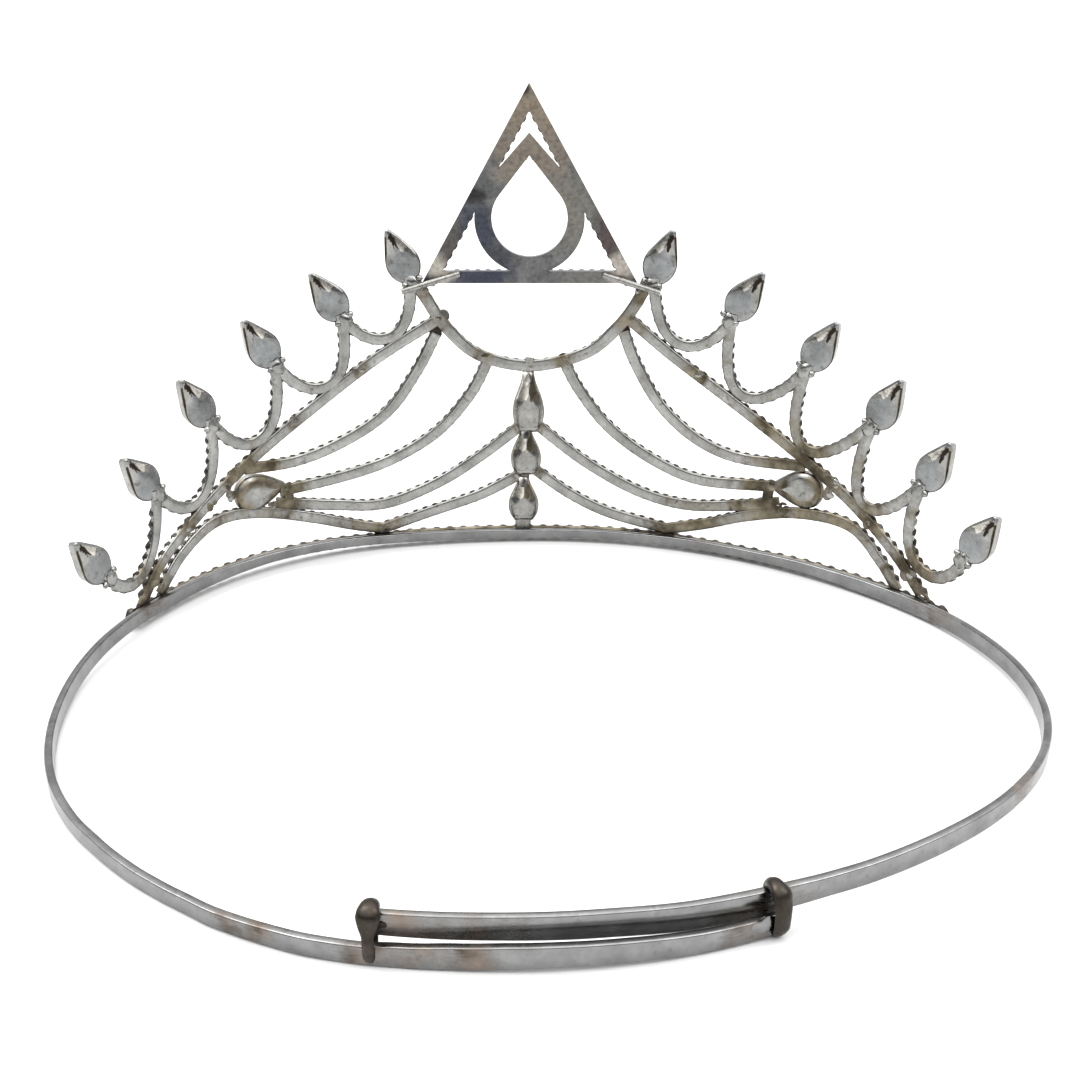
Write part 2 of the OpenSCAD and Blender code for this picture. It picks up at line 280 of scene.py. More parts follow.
def rounded(w, t, r):
    """Rounded rectangle of width w and thickness t about the origin."""
    steps = 3
    r = min(r, w / 2 * 0.98, t / 2 * 0.98)
    out = []
    for cx, cy, a0 in ((w / 2 - r, t / 2 - r, 0), (r - w / 2, t / 2 - r, 90),
                       (r - w / 2, r - t / 2, 180), (w / 2 - r, r - t / 2, 270)):
        for j in range(steps + 1):
            a = math.radians(a0 + 90 * j / steps)
            out.append((cx + r * math.cos(a), cy + r * math.sin(a)))
    return out


# Solder joints, where tarnish gathers: station, height, radius, strength
JOINTS = [
    (-21.6, 49.8, 2.4, 0.7), (-18.6, 44.6, 3.2, 0.7), (-10.4, 37.4, 2.8, 0.6), (-1.7, 36, 6.0, 0.25),
    (-34.0, 36.2, 2.6, 0.8), (-47.0, 28.2, 2.6, 0.8), (-59.5, 20.8, 3.0, 0.9), (-70.5, 13.6, 3.2, 0.9),
    (-79.5, 6.8, 4.0, 1.1), (-83.0, 3.6, 4.5, 1.1), (-55.0, 18.0, 7.5, 0.95), (-48.0, 13.0, 5.0, 0.8),
    (-30.5, 3.8, 6.0, 0.7), (-38.0, 5.4, 5.0, 0.5), (-4.0, 23.2, 2.4, 0.6), (-4.4, 13.2, 2.4, 0.7),
    (-2.6, 4.2, 3.0, 0.4), (-64.0, 12.8, 3.5, 0.5), (-33.0, 46.0, 2.0, 0.5), (-46.5, 38.8, 2.0, 0.5),
    (18.6, 49.2, 2.4, 0.7), (16.6, 44.4, 3.2, 0.7), (4.6, 36.8, 2.8, 0.6), (29.5, 35.4, 2.6, 0.8),
    (43.0, 27.4, 2.6, 0.8), (55.0, 20.2, 3.0, 0.9), (65.5, 13.6, 3.2, 0.9), (74.5, 6.6, 4.0, 1.1),
    (78.2, 3.4, 4.5, 1.1), (51.0, 18.4, 7.5, 0.95), (43.5, 13.6, 5.0, 0.8), (25.0, 3.8, 6.0, 0.7),
    (33.0, 5.8, 5.0, 0.5), (-0.6, 23.6, 2.4, 0.6), (-0.8, 14.4, 2.4, 0.7), (60.0, 12.8, 3.5, 0.5),
    (30.5, 46.4, 2.0, 0.5), (46.0, 39.5, 2.0, 0.5)]


def frame_stain(s, z):
    """Tarnish on the frame at a station and height, from 0 to 1.3; the right side is warmer."""
    v = 0.0
    for js, jz, r, k in JOINTS:
        d2 = ((s - js) ** 2 + (z - jz) ** 2) / (r * r)
        if d2 < 6:
            v += k * math.exp(-d2 * 1.2)
    right = smooth(s, -5, 50)
    grain = noise.noise(Vector((s * 0.45, z * 0.45, 3.0))) * 0.35
    fleck = max(0.0, noise.noise(Vector((s * 0.7, z * 0.7, 8.0))) - 0.15) * (0.4 + 0.5 * right)
    return max(0.0, min(1.3, v * (1 + grain * 1.2) + max(0.0, grain) * 0.25 + fleck + 0.34 * right))


def strip(mesh, path, width, tone=0.0, start=FILM, depth=STRIP_DEPTH):
    """Flat soldered strip on the panel, its back edges eased."""
    pts = even(path, 0.9)
    rings, stains = [], []
    for k, (s, z) in enumerate(pts):
        a, b = pts[max(k - 1, 0)], pts[min(k + 1, len(pts) - 1)]
        ds, dz = b[0] - a[0], b[1] - a[1]
        n = math.hypot(ds, dz)
        o, t, nrm, up = panel_frame(s, z)
        across = t * (-dz / n) + up * (ds / n)
        wob = noise.noise(Vector((s * 0.16, z * 0.16, width))) * 0.05
        dent = noise.noise(Vector((s * 0.5, z * 0.5, 7.0))) * 0.05
        h, e = width * (1 + wob) / 2, 0.13
        sec = [(-h, depth), (h, depth), (h, 0.24), (h - e, 0.08), (h * 0.62, 0.0),
               (-h * 0.62, 0.0), (e - h, 0.08), (-h, 0.24)]
        rings.append([o + across * u + nrm * (start + v + wob * 0.5 + dent) for u, v in sec])
        stains += [frame_stain(s, z) + tone * (1 + noise.noise(Vector((s * 0.7, z, 1.0))))] * len(sec)
    base = len(mesh.stain_and_shade)
    mesh.loft(rings)
    mesh.stain_and_shade[base:base + len(stains)] = stains


def root(s, z, lean):
    """Place near the round end of a finial, where its strips are soldered."""
    return s - 0.36 * FIN_L * sind(lean), z - 0.36 * FIN_L * cosd(lean)


def hanging_u(f, g, side, pull):
    """Path of the strip that hangs between two finials."""
    a, d = root(*f), root(*g)
    b = (a[0] + side * pull[0], a[1] - pull[1])
    c = (d[0] - side * pull[2], d[1] - pull[3])
    return bezier(a, b, c, d, 24)


def pear(length, width, n=22, m=1.15, tip=0.75):
    """Right half of a pear outline from its rounded tip down."""
    def bulge(t):
        return math.sin(t) * math.sin(t / 2) ** m

    lo, wi = length - 2 * tip, width - 2 * tip
    peak = max(bulge(math.pi * j / 200) for j in range(1, 200))
    raw = [(wi / 2 / peak * bulge(math.pi * k / n), lo / 2 * math.cos(math.pi * k / n))
           for k in range(n + 1)]
    out = [(tip * sind(a), lo / 2 + tip * cosd(a)) for a in (0, 22, 44)]
    for k in range(1, n):
        ax, ay = raw[k + 1][0] - raw[k - 1][0], raw[k + 1][1] - raw[k - 1][1]
        g = math.hypot(ax, ay)
        out.append((raw[k][0] - tip * ay / g, raw[k][1] + tip * ax / g))
    out.append((0.0, -lo / 2 - tip))
    return out


# Outlines of the cups: share of the length from the top, share of the half width
BOTTLE = [(0.0, 0.0), (0.0, 0.34), (0.08, 0.37), (0.2, 0.47), (0.34, 0.68), (0.48, 0.88),
          (0.6, 0.98), (0.68, 1.0), (0.78, 0.97), (0.87, 0.88), (0.95, 0.72), (1.0, 0.6), (1.0, 0.0)]
SPADE = [(0.0, 0.0), (0.006, 0.12), (0.04, 0.2), (0.14, 0.38), (0.28, 0.6), (0.42, 0.82),
         (0.54, 0.96), (0.62, 1.0), (0.72, 0.97), (0.82, 0.84), (0.91, 0.62), (0.975, 0.38),
         (1.0, 0.0)]


def outline(shape, length, width):
    """Right half of an outline from the tip down, as a smooth curve between its two ends."""
    pts = [(width / 2 * w, length / 2 - length * f) for f, w in shape]
    return pts[:2] + spline(pts[1:-1], 3)[1:] + pts[-1:]


def cup_frame(s, z, lean):
    """Middle of a cup, the way across it, the way to its tip and the outward normal."""
    o, t, n, up = panel_frame(s, z)
    along = t * sind(lean) + up * cosd(lean)
    across = t * cosd(lean) - up * sind(lean)
    return o, across, along, n


# Profile of a cup's back: share of the inset from the outline, share of the height
CUP_BACK = [(0.0, 0.0), (0.05, 0.3), (0.14, 0.5), (0.3, 0.66), (0.5, 0.8), (0.72, 0.915),
            (0.88, 0.975), (1.0, 1.0)]


def back_height(share):
    """Height of a cup's back at a share of the inset."""
    for (fa, ha), (fb, hb) in zip(CUP_BACK, CUP_BACK[1:]):
        if share <= fb:
            return ha + (hb - ha) * (share - fa) / (fb - fa)
    return 1.0


def outward(half):
    """Outward direction at each point of a half outline."""
    m = len(half) - 1
    out = []
    for k in range(m + 1):
        a, b = half[max(k - 1, 0)], half[min(k + 1, m)]
        g = math.dist(a, b)
        out.append(((a[1] - b[1]) / g, (b[0] - a[0]) / g))
    out[0], out[m] = (0.0, 1.0), (0.0, -1.0)
    return out


def fill_across(verts, n, swell):
    """Fills the last ring of n points in rows across, with its middle raised along swell."""
    last, m = len(verts) - n, n // 2
    rows, faces = [], []
    for k in range(m + 1):
        r, l = last + k, last + (n - k) % n
        ids = [r]
        wide = (verts[r] - verts[l]).length
        if 0 < k < m and wide > 1e-5:
            for f in (0.25, 0.5, 0.75):
                rise = min(1.0, wide / 4) * (1 - (2 * f - 1) ** 2)
                verts.append(verts[r].lerp(verts[l], f) + swell * rise)
                ids.append(len(verts) - 1)
            ids.append(l)
        rows.append(ids)
    for p, q in zip(rows, rows[1:]):
        if len(p) == len(q) == 5:
            faces += [(p[i], p[i + 1], q[i + 1], q[i]) for i in range(4)]
        elif len(p) == 5 or len(q) == 5:
            one, five = (p, q) if len(q) == 5 else (q, p)
            faces += [(one[0], five[i], five[i + 1]) for i in range(4)]
    return faces


def cup(mesh, s, z, lean, half, stain_and_shade, back=0.35, wall=0.95, inset=0.45, roof=1.7, swell=0.1,
        cool=-0.6):
    """Closed cup whose back has a flat face with a ridge from it to the tip.

    back and wall are how far out its face and its edge lie, inset and roof how far the face
    stays in from the outline at the round end and at the tip, and cool is the face's stain.
    """
    o, across, along, nrm = cup_frame(s, z, lean)

    def at(x, y, out):
        return o + across * x + along * y + nrm * out

    m = len(half) - 1
    normals = outward(half)
    limit = [q[0] / v[0] if v[0] > 0.02 else 9.0 for q, v in zip(half, normals)]
    limit[0] = limit[1] * 0.9
    insets = [inset + (roof - inset) * smooth(y / half[0][1], -0.25, 0.35) for _, y in half]
    base = 0.25 * frame_stain(s, z)
    verts, tone = [], []
    for share, _ in CUP_BACK:
        for side in (1, -1):
            for k in range(m + 1) if side > 0 else range(m - 1, 0, -1):
                d = min(share * insets[k], limit[k])
                x, y = half[k][0] - normals[k][0] * d, half[k][1] - normals[k][1] * d
                out = wall + (back - wall) * back_height(d / insets[k])
                verts.append(at(side * max(x, 0.0), y, out))
                tone.append(base + stain_and_shade(side * x, y, share))
    n = 2 * m
    faces = []
    for j in range(len(CUP_BACK) - 1):
        for k in range(n):
            a, b = j * n + k, j * n + (k + 1) % n
            c, d = b + n, a + n
            if (verts[a] - verts[d]).length + (verts[b] - verts[c]).length > 1e-6:
                faces.append((a, b, c, d))
    faces += fill_across(verts, n, nrm * -swell)
    tone += [cool] * (len(verts) - len(tone))
    mesh.add(verts, faces, tone)
    # Wall, rim, lip and seat: share of the outline, distance out
    rim = CUP_DEPTH + 0.35
    loop = half + [(-x, y) for x, y in half[-2:0:-1]]
    mesh.loft([[at(x * share, y * share, out) for x, y in loop] for share, out in (
        (1.0, wall), (0.93, rim - 0.3), (0.915, rim), (0.88, rim + 0.05), (0.845, rim - 0.1),
        (0.83, CUP_DEPTH - 0.68))], stain_and_shade=base + 0.15)


def setting(metal, glass, o, t, up, n, r, low, high):
    """Small round setting with a raised lip and four prongs, and the cut stone in it."""

    def circle(share, out, shift=0.0, prong=0.0):
        ring = []
        for k in range(SETTING_SIDES):
            a = TAU * (k + shift) / SETTING_SIDES
            lift = prong if k % 3 == 0 else 0.0
            ring.append(o + t * (r * share * math.cos(a)) + up * (r * share * math.sin(a))
                        + n * (out + lift))
        return ring

    # Share of the radius, distance out, rise of the prongs
    wall = [(0.93, low, 0), (1.0, low + 0.25, 0), (1.0, high - 0.15, 0.05),
            (0.9, high, 0.2), (0.76, high - 0.02, 0.12), (0.74, high - 0.3, 0)]
    # Tone values: black at the three base rings, painted shade where the setting meets the strip;
    # darker above from tarnish and painted shade; uneven from place to place
    rough = 1.5 * noise.noise(o * 0.9)
    stains = [(1.4 if k < 3 else 0.7) + rough for k in range(len(wall))
              for _ in range(SETTING_SIDES)]
    metal.loft([circle(share, out, 0.5, prong) for share, out, prong in wall], stain_and_shade=stains)
    glass.loft([circle(share, out) for share, out in (
        (0.7, high - 0.35), (0.745, high - 0.08), (0.46, high + 0.27))])


# Settings on the frame so far: station, height, radius
placed = []


def row(metal, glass, path, pitch, r, low, high, skip):
    """Row of settings along a path, left out where others or the cups already are."""
    pts = even(path, pitch)
    for k, (s, z) in enumerate(pts):
        if any(math.hypot(s - p[0], z - p[1]) < CLOSEST * (r + p[2]) for p in placed):
            continue
        if any(math.hypot(s - c[0], z - c[1]) < c[2] for c in skip):
            continue
        placed.append((s, z, r))
        a, b = pts[max(k - 1, 0)], pts[min(k + 1, len(pts) - 1)]
        ang = math.atan2(b[1] - a[1], b[0] - a[0])
        o, t, n, up = panel_frame(s, z)
        tt = t * math.cos(ang) + up * math.sin(ang)
        uu = up * math.cos(ang) - t * math.sin(ang)
        setting(metal, glass, o, tt, uu, n, r, low, high)


def lump(mesh, o, t, up, n, rx, rz, depth, seed, stain_and_shade):
    """Uneven bead of solder, flat against what it joins."""
    rings = []
    steps, sides = 6, 14
    for i in range(steps + 1):
        e = math.pi * (0.02 + 0.96 * i / steps) - math.pi / 2
        ring = []
        for j in range(sides):
            a = TAU * j / sides
            d = Vector((math.cos(a) * math.cos(e), math.sin(a) * math.cos(e), math.sin(e)))
            g = (1 + 0.28 * noise.noise(d * 1.6 + Vector((seed, 0, 0)))
                 + 0.1 * noise.noise(d * 4.5 + Vector((0, seed, 0))))
            ring.append(o + t * (d.x * rx * g) + up * (d.y * rz * g) + n * (d.z * depth * g))
        rings.append(ring)
    mesh.loft(rings, stain_and_shade=stain_and_shade)


def solder(mesh, s, z, rx, rz, seed):
    """Rough patch of solder from several small flat beads, pale and dark."""
    rnd = random.Random(int(seed * 97) + 5)
    for k in range(4):
        ds, dz = rnd.uniform(-0.45, 0.45) * rx, rnd.uniform(-0.45, 0.45) * rz
        o, t, n, up = panel_frame(s + ds, z + dz)
        f = rnd.uniform(0.35, 0.62)
        lump(mesh, o + n * (0.2 + rnd.uniform(-0.02, 0.1)), t, up, n,
             rx * f, rz * f * rnd.uniform(0.7, 1.1), rnd.uniform(0.14, 0.24), seed + k * 1.3,
             rnd.choice((0.3, 0.7, 0.9, 1.25)))


def feed(tree, socket, value):
    """Links a socket to an output, or sets it to a number, a vector or a colour."""
    if isinstance(value, bpy.types.NodeSocket):
        tree.links.new(value, socket)
    elif socket.type == "RGBA":
        socket.default_value = (*value, 1)
    else:
        socket.default_value = value


def node(tree, kind, inputs=(), **settings):
    """Node with its settings, and its inputs as pairs of name or number and value."""
    nd = tree.nodes.new(kind)
    for key, value in settings.items():
        setattr(nd, key, value)
    for key, value in inputs:
        feed(tree, nd.inputs[key], value)
    return nd


def coordinates(tree, kind="Object"):
    """Place in the object's own metres, or another kind of coordinates."""
    return node(tree, "ShaderNodeTexCoord").outputs[kind]


def clouds(tree, place_at, scale, detail=2.0, roughness=0.5):
    """Value of a noise texture."""
    return node(tree, "ShaderNodeTexNoise", (
        ("Vector", place_at), ("Scale", scale), ("Detail", detail),
        ("Roughness", roughness))).outputs["Fac"]


def ramp(tree, value, stops):
    """Colour ramp over a value, given as the place and colour of each stop."""
    nd = node(tree, "ShaderNodeValToRGB", ((0, value),))
    elements = nd.color_ramp.elements
    while len(elements) < len(stops):
        elements.new(0.5)
    for element, (at, colour) in zip(elements, stops):
        element.position = at
        element.color = (*colour, 1)
    return nd.outputs[0]


def spread(tree, value, low, high, to_low=0.0, to_high=1.0):
    """Value from low to high, mapped to another range and held inside it."""
    return node(tree, "ShaderNodeMapRange", (
        ("Value", value), ("From Min", low), ("From Max", high), ("To Min", to_low),
        ("To Max", to_high))).outputs[0]


def maths(tree, operation, *values):
    """Result of a sum or the like."""
    return node(tree, "ShaderNodeMath", enumerate(values), operation=operation).outputs[0]


def mixed(tree, share, a, b, blend="MIX"):
    """Colour a with a share of colour b."""
    return node(tree, "ShaderNodeMix", (("Factor", share), ("A", a), ("B", b)),
                data_type="RGBA", blend_type=blend).outputs["Result"]


def axes(tree, vector):
    """X, Y and Z of a vector."""
    return node(tree, "ShaderNodeSeparateXYZ", ((0, vector),)).outputs


def new_material(name, shader_inputs):
    """Material with one main shader, whose inputs a function gives for its tree."""
    mat = bpy.data.materials.new(name)
    mat.use_nodes = True
    tree = mat.node_tree
    tree.nodes.clear()
    shader = node(tree, "ShaderNodeBsdfPrincipled", shader_inputs(tree))
    node(tree, "ShaderNodeOutputMaterial", ((0, shader.outputs[0]),))
    return mat


def metal_material(name, light, shade, tarnish, rough, scratch=(1, 1, 1), grain=900.0, bump=0.12,
                   pitted=0.5, extra=None, mottle=0.45):
    """Worn plated metal, whose points' value for tarnish and painted light says where it differs.

    From 0 to 1 it has brown tarnish, over 1.1 it is black, as black tarnish and as painted shade and
    dark painted reflections, under 0 bluish, under -0.8 pale, as a painted highlight.
    """
    def inputs(tree):
        place_at = coordinates(tree)
        stretched = node(tree, "ShaderNodeMapping",
                         (("Vector", place_at), ("Scale", scratch))).outputs[0]
        stain_and_shade = node(tree, "ShaderNodeAttribute", attribute_name="stain_and_shade").outputs["Fac"]
        cloud = clouds(tree, place_at, 260.0, 6.0)
        fine = clouds(tree, stretched, grain, 8.0, 0.7)
        colour = ramp(tree, cloud, [(0.3, shade), (0.7, light)])
        bluish = spread(tree, stain_and_shade, -0.05, -0.6)
        colour = mixed(tree, bluish, colour, (0.74, 0.77, 0.81), "MULTIPLY")
        # Pale painted highlight where the value lies far below zero
        painted_highlight = spread(tree, stain_and_shade, -0.8, -1.5)
        colour = mixed(tree, painted_highlight, colour, (0.66, 0.63, 0.56))
        if extra:
            colour = extra(tree, place_at, colour)
        # Tarnish with a broken edge
        ragged = maths(tree, "MULTIPLY_ADD", maths(tree, "SUBTRACT", fine, 0.5), 0.9, stain_and_shade)
        mask = ramp(tree, ragged, [(0.28, BLACK), (0.85, WHITE)])
        brown = ramp(tree, cloud, [(0.35, tarnish[0]), (0.62, tarnish[1])])
        colour = mixed(tree, mask, colour, brown)
        # Black over 1.1: black tarnish at the solder, and painted shade and dark painted reflections
        # on the cups and settings
        black_tarnish_and_painted_dark = spread(tree, ragged, 1.1, 1.7)
        colour = mixed(tree, black_tarnish_and_painted_dark, colour, (0.025, 0.02, 0.017))
        # Dark pits
        pits = ramp(tree, clouds(tree, place_at, 700.0, 3.0), [(0.30, WHITE), (0.37, BLACK)])
        colour = mixed(tree, maths(tree, "MULTIPLY", pits, pitted), colour, (0.06, 0.05, 0.04))
        # Fine mottle over all
        specks = ramp(tree, clouds(tree, place_at, 1500.0, 4.0), [
            (0.32, (0.68, 0.67, 0.66)), (0.5, (0.96, 0.95, 0.95)), (0.68, (1.12, 1.12, 1.12))])
        colour = mixed(tree, mottle, colour, specks, "MULTIPLY")
        worn = spread(tree, fine, 0.3, 0.7, *rough)
        normal = node(tree, "ShaderNodeBump", (
            ("Strength", bump), ("Distance", 0.0001), ("Height", fine))).outputs[0]
        return (("Metallic", 1.0), ("Base Color", colour), ("Normal", normal),
                ("Roughness", maths(tree, "MULTIPLY_ADD", mask, 0.22, worn)))

    return new_material(name, inputs)


def glass_inputs(tree):
    """Clear cut glass with slight smudges."""
    smudge = clouds(tree, coordinates(tree), 500.0)
    tint = ramp(tree, smudge, [(0.35, (0.86, 0.9, 0.95)), (0.65, (0.97, 0.98, 1.0))])
    return (("Base Color", tint), ("Roughness", spread(tree, smudge, 0.0, 1.0, 0.0, 0.14)),
            ("IOR", 1.58), ("Transmission Weight", 0.75), ("Coat Weight", 0.4),
            ("Coat Roughness", 0.03))


def patches(tree, place_at, colour, rows):
    """Lays soft-edged patches over a colour: centre x and z, half sizes, colour."""
    along = axes(tree, place_at)
    ragged = clouds(tree, place_at, 420.0, 5.0)
    for x, z, rx, rz, patch in rows:
        squares = []
        for axis, c, r in (("X", x, rx), ("Z", z, rz)):
            off = maths(tree, "MULTIPLY_ADD", along[axis], 1 / (r * MM), -c / r)
            squares.append(maths(tree, "MULTIPLY", off, off))
        edge = maths(tree, "MULTIPLY_ADD", ragged, 2.6, maths(tree, "ADD", *squares))
        colour = mixed(tree, spread(tree, edge, 3.1, 1.5), colour, patch)
    return colour


# The plate's taupe top, blue-black and purple heat marks and pale solder at its feet: centre x
# from its middle and z, half sizes, colour
PLATE_PATCHES = [
    (0, 88, 9, 17, (0.24, 0.205, 0.16)), (1, 73, 6, 5, (0.20, 0.175, 0.145)),
    (6, 64, 6, 6, (0.17, 0.165, 0.145)), (-9.5, 59.5, 3.6, 6.5, (0.055, 0.06, 0.078)),
    (-6.5, 55.5, 4, 3, (0.06, 0.062, 0.072)), (-9, 52.3, 5.5, 2.2, (0.048, 0.052, 0.07)),
    (14.2, 59.5, 2.6, 5, (0.085, 0.068, 0.068)), (10.5, 52.3, 4.5, 2, (0.14, 0.138, 0.13)),
    (-16.2, 54.0, 2.6, 2.6, (0.4, 0.38, 0.33)), (16.4, 53.8, 2.4, 2.6, (0.4, 0.37, 0.33)),
    (-14.5, 58.5, 2.2, 4, (0.09, 0.085, 0.08)), (-9.8, 67, 2, 1.5, (0.04, 0.04, 0.04)),
    (-0.9, 85.4, 0.9, 1.2, (0.03, 0.025, 0.03))]


def plate_colours(tree, place_at, colour):
    """The plate's patches, and bright rods behind it."""
    colour = patches(tree, place_at, colour,
                     [(PLATE_MID + x, z, rx, rz, patch) for x, z, rx, rz, patch in PLATE_PATCHES])
    behind = spread(tree, axes(tree, place_at)["Y"], (PLATE_Y - 0.02) * MM, (PLATE_Y - 0.08) * MM)
    return mixed(tree, behind, colour, (0.28, 0.275, 0.26))


band_metal = metal_material(
    "band metal", (0.26, 0.262, 0.26), (0.165, 0.167, 0.166),
    ((0.24, 0.2, 0.17), (0.08, 0.062, 0.048)), (0.15, 0.28),
    scratch=(1, 1, 6), grain=500.0, bump=0.08, pitted=0.25, mottle=0.22)
frame_metal = metal_material(
    "frame metal", (0.34, 0.34, 0.325), (0.20, 0.20, 0.19),
    ((0.24, 0.212, 0.155), (0.07, 0.058, 0.038)), (0.14, 0.32), grain=800.0, bump=0.16)
# Darker metal for the settings: their tarnish, and also painted shade where they sit along the strips'
# edges
row_dark = metal_material(
    "row metal", (0.22, 0.215, 0.205), (0.10, 0.098, 0.092),
    ((0.075, 0.07, 0.06), (0.03, 0.027, 0.023)), (0.16, 0.34), bump=0.2, pitted=0.6)
plate_metal = metal_material(
    "plate metal", (0.155, 0.155, 0.155), (0.095, 0.098, 0.10),
    ((0.18, 0.155, 0.12), (0.05, 0.04, 0.03)), (0.24, 0.42),
    scratch=(1, 1, 5), grain=600.0, bump=0.2, pitted=0.4, extra=plate_colours, mottle=0.9)
loop_metal = metal_material(
    "loop metal", (0.075, 0.066, 0.056), (0.028, 0.024, 0.02),
    ((0.05, 0.04, 0.032), (0.02, 0.016, 0.013)), (0.2, 0.36), grain=700.0, bump=0.2, pitted=0.4)
glass = new_material("cut glass", glass_inputs)

# Head band. Its rear arms rise from its widest point to the back, over this depth, once past
# this heading in degrees
REAR_DEPTH = 62
RISE_HEADING = 80
# Lean of its faces in degrees, and radius of its edges
BAND_LEAN = 4.0
BAND_EDGE = 0.22
RIGHT_ALL, LEFT_ALL = RIGHT_FRONT + RIGHT_REAR, LEFT_FRONT + LEFT_REAR
END_R, END_L = length_of(RIGHT_ALL), length_of(LEFT_ALL)
WIDE_R, WIDE_L = walk(RIGHT_FRONT, length_of(RIGHT_FRONT)), walk(LEFT_FRONT, length_of(LEFT_FRONT))
# The strip by station: underside and height, thickness, inward shift. The arms differ, as bent
# by hand
BAND_RUN = [
    (-249, 0.3, 2.8), (-240, 0.28, 2.85), (-228, 0.55, 3.03), (-222, 0.58, 3.1),
    (-216, 0.47, 3.22), (-210, 0.27, 3.2), (-204, 0.12, 3.0), (-198, 0.18, 2.64),
    (-192, 0.2, 2.6), (-186, 0.2, 2.5), (-180, 0.2, 2.42), (-174, 0.2, 2.36), (-168, 0.22, 2.35),
    (-162, 0.28, 2.35), (-156, 0.3, 2.4), (-150, 0.3, 2.45), (-140, 0.3, 2.7), (-120, 0.35, 2.7),
    (-96, 1.25, 2.55), (-90, 1.3, 2.5), (-84, 1.25, 2.5), (-78, 1.03, 2.5), (-72, 1.23, 2.3),
    (-66, 1.4, 2.15), (-60, 1.6, 2.0), (-54, 1.75, 1.85), (-48, 1.69, 1.8), (-42, 1.58, 1.8),
    (-36, 1.38, 1.83), (-30, 1.15, 1.85), (-18, 0.92, 1.85), (0, 0.85, 1.8), (18, 0.93, 1.8),
    (30, 0.92, 1.9), (42, 0.94, 1.8), (54, 0.9, 2.1), (60, 0.73, 2.3), (66, 0.58, 2.55),
    (78, 0.47, 2.8), (90, 0.6, 2.9), (110, 0.95, 2.9), (130, 1.7, 2.9), (138, 2.2, 2.9),
    (145, 2.6, 2.9), (151, 2.65, 2.9), (157, 2.5, 3.0), (163, 2.47, 3.03), (175, 2.47, 3.03),
    (181, 2.6, 3.03), (187, 2.5, 3.3), (193, 2.15, 3.65), (199, 2.05, 3.8), (210, 2.55, 3.67),
    (224, 2.95, 3.49), (236.5, 3.2, 3.3)]
BAND_THICK = [(-204, 1.15), (-198, 1.2), (193, 1.2), (199, 1.1)]
BAND_SHIFT = [(-210, 0), (-204, -0.15), (-198, -0.5), (-192, -0.7), (-186, -0.5), (-180, -0.3),
              (-174, 0.25), (-168, 0.5), (-162, 0.6), (-156, 0.6), (-150, 0.3), (-140, 0)]
# Stains on the band: station, height, radius, strength
BAND_STAINS = [
    (END_R - 16, 2.0, 9, 0.45), (-END_L + 36, 1.6, 4, 0.8), (-END_L + 42, 2.0, 4, 0.5),
    (-END_L + 66, 1.6, 5, 0.6), (-END_L + 63, 0.8, 3, 0.5), (END_R - 88, 1.6, 4, 0.6),
    (END_R - 92, 2.2, 3, 0.5), (-END_L + 50, 1.4, 5, 0.7), (END_R - 48, 1.4, 6, 0.8),
    (END_R - 3, 1.4, 7, 0.9), (-END_L + 3, 1.4, 7, 0.8), (-END_L + 26, 2.6, 4, 0.35),
    (82, 1.6, 6, 0.7), (-84, 1.6, 6, 0.7), (-25, 2.0, 9, 0.35), (30, 2.0, 9, 0.3)]


def band_frame(s):
    """Origin on the outer face, way along, outward normal, up and heading at a station."""
    side = -1 if s < 0 else 1
    x, y, a = walk(LEFT_ALL if s < 0 else RIGHT_ALL, abs(s))
    wide, rise = (WIDE_L, LEFT_RISE) if s < 0 else (WIDE_R, RIGHT_RISE)
    z = max(0.0, (wide[1] - y) * rise / REAR_DEPTH) if a > RISE_HEADING else 0.0
    return (Vector((FRONT[0] + side * x, FRONT[1] + y, z)),
            Vector((side * cosd(a), -sind(a), 0)), Vector((side * sind(a), cosd(a), 0)),
            Vector((0, 0, 1)), a)


def between(rows, s):
    """Values of a table at a station, half eased and half straight between its rows."""
    for a, b in zip(rows, rows[1:]):
        if s <= b[0]:
            break
    t = smooth(s, a[0], b[0]) * 0.5 + 0.5 * min(1.0, max(0.0, (s - a[0]) / (b[0] - a[0])))
    return [a[k] + (b[k] - a[k]) * t for k in range(1, len(a))]


def band_stain(s, z):
    """Tarnish on the band at a station and height."""
    v = sum(k * math.exp(-(((s - bs) / r) ** 2 + ((z - bz) / 2.2) ** 2))
            for bs, bz, r, k in BAND_STAINS)
    g = noise.noise(Vector((s * 0.35, z * 0.9, 9.0)))
    return max(0.0, v * (1 + g) + 0.16 * max(0.0, g))


def make_band():
    """One strip from end to end, with the solder where the left arm's loop is fixed."""
    mesh = Mesh()
    rings, stains = [], []
    steps = round((END_L + END_R) / 1.2)
    for k in range(steps + 1):
        s = -END_L + (END_L + END_R) * k / steps
        o, _, n, up, a = band_frame(s)
        low, h = between(BAND_RUN, s)
        thick, shift = between(BAND_THICK, s)[0], between(BAND_SHIFT, s)[0]
        lean = math.tan(math.radians(BAND_LEAN * cosd(a)))
        wob = 0.04 * noise.noise(Vector((s * 0.05, 0, 0)))
        ring = []
        for u, v in rounded(thick, h, BAND_EDGE):
            z = v + h / 2
            tilt = (z if lean > 0 else z - h) * lean
            ring.append(o + n * (u - thick / 2 - 0.05 - tilt + wob - shift) + up * (low + z - o.z))
            stains.append(band_stain(s, z))
        rings.append(ring)
    mesh.loft(rings, stain_and_shade=stains)
    s = -END_L + 2.6
    o, t, n, up, _ = band_frame(s)
    low, h = between(BAND_RUN, s)
    lump(mesh, o - n * 0.1 + up * (low + h / 2), t, up, n, 1.9, 1.25, 0.3, 5.0, 0.25)
    return mesh.build("band_strip", band_metal)


